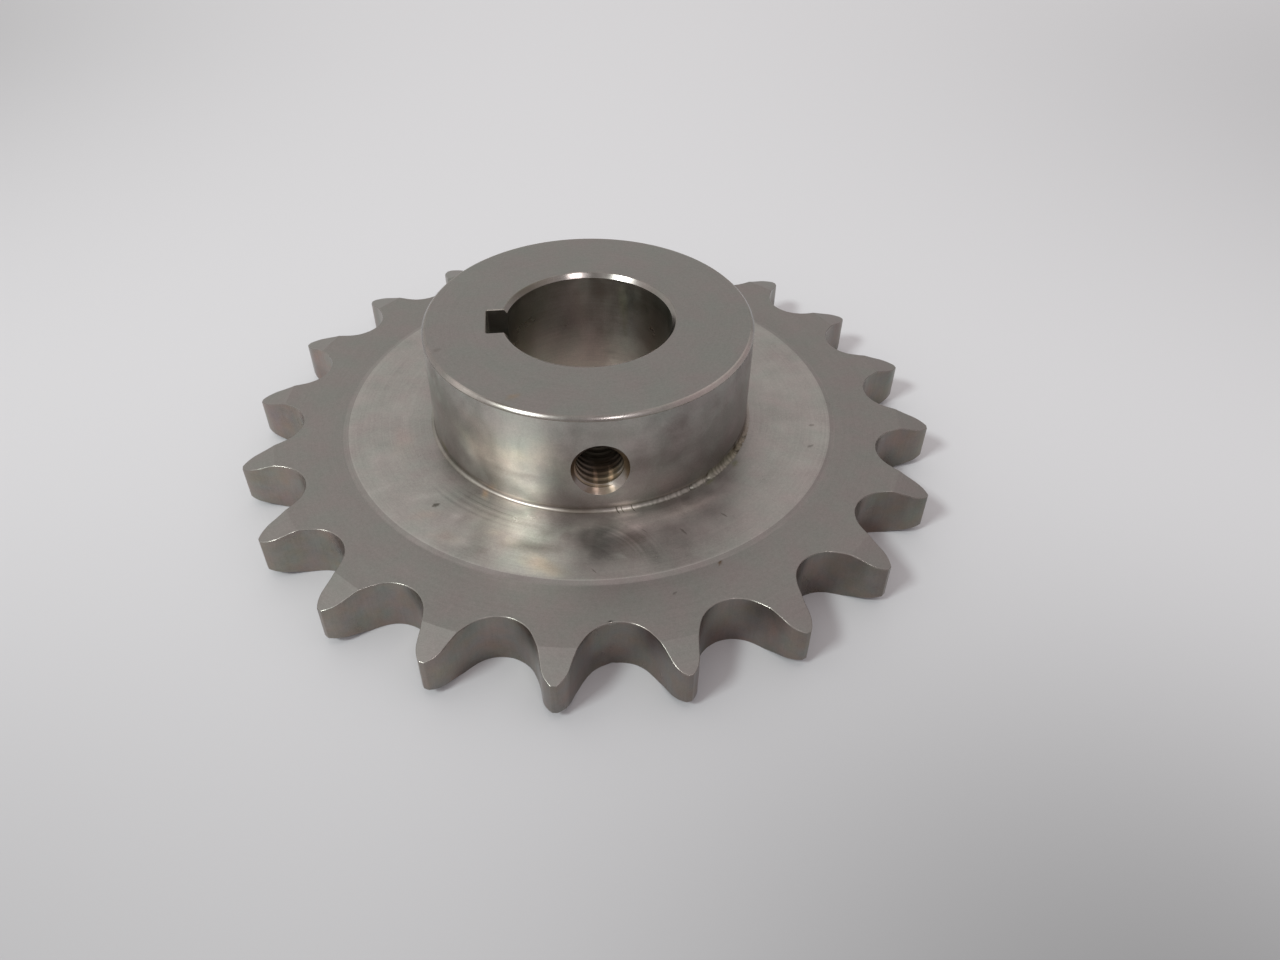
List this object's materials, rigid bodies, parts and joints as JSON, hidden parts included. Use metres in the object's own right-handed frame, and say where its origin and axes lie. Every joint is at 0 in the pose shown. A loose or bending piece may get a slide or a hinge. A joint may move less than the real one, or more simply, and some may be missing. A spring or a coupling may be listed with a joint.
{
  "type": "chain sprocket",
  "caption": "One-piece steel roller chain sprocket with a hub on one side, a keyed bore and tapped set screw holes.",
  "frame": {"origin": "centre of the bore on the flat back face, which the part rests on", "axes": "+Z along the bore from the back face towards the hub's end, -X through the keyway"},
  "size_m": [0.1076, 0.1076, 0.0254],
  "materials": {
    "steel": "satin machined, bare steel"
  },
  "bodies": {
    "root": {"sprocket": "steel"}
  },
  "joints": []
}
